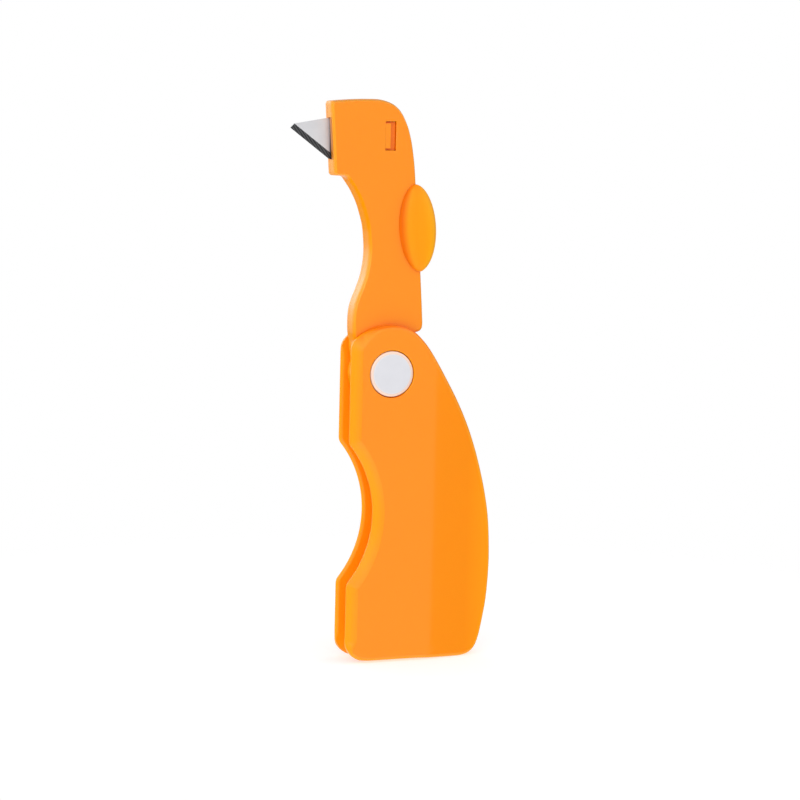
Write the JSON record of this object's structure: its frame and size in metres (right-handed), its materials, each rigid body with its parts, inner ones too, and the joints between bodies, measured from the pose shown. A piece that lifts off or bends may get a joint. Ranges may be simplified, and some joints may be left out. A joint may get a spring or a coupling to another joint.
{
  "type": "folding deburring tool",
  "caption": "Folding pocket deburring tool: a two-shell handle with a finger scallop carries a goose-necked arm with a small angled steel blade and an oval thumb pad.",
  "frame": {"origin": "at the centre of the pivot cap's outer face on the near side, which is flush with the near handle face; the pivot axis runs along Y through it", "axes": "+Z along the handle towards the head with the tool open, +X towards the tool's back, -X towards the blade and the open slot, +Y out of the far handle face (the screw side)"},
  "size_m": [0.0595, 0.0114, 0.1514],
  "materials": {
    "orange_plastic": "glossy moulded",
    "pad_plastic": "glossy moulded",
    "holder_plastic": "glossy moulded",
    "pivot_cap": "satin",
    "washer_plastic": "matt",
    "blade_steel": "ground",
    "spring_steel": "tempered",
    "fastener_steel": "zinc plated"
  },
  "bodies": {
    "handle": {"handle_shell_near": "orange_plastic", "handle_shell_far": "orange_plastic", "pivot_barrel": "pivot_cap", "pivot_screw": "pivot_cap", "pivot_washer_near": "washer_plastic", "pivot_washer_far": "washer_plastic", "handle_screw_upper": "fastener_steel", "handle_screw_middle": "fastener_steel", "handle_screw_lower": "fastener_steel", "fold_stop_pin": "fastener_steel", "spring_anchor_pin": "fastener_steel", "detent_spring": "spring_steel"},
    "arm": {"arm_shell_near": "orange_plastic", "arm_shell_far": "orange_plastic", "thumb_pad": "pad_plastic", "arm_screw_upper": "fastener_steel", "arm_screw_lower": "fastener_steel", "blade_holder": "holder_plastic", "blade": "blade_steel"},
    "latch": {"latch_finger": "holder_plastic"}
  },
  "joints": [
    {"name": "arm_fold", "type": "hinge", "parent": "handle", "child": "arm", "pos_m": [0, 0, 0], "axis": [0, -1, 0], "range_deg": [0, 177]},
    {"name": "latch_press", "type": "hinge", "parent": "arm", "child": "latch", "pos_m": [-0.0089, 0.00425, 0.0632], "axis": [0, 0, 1], "range_deg": [0, 6]}
  ]
}
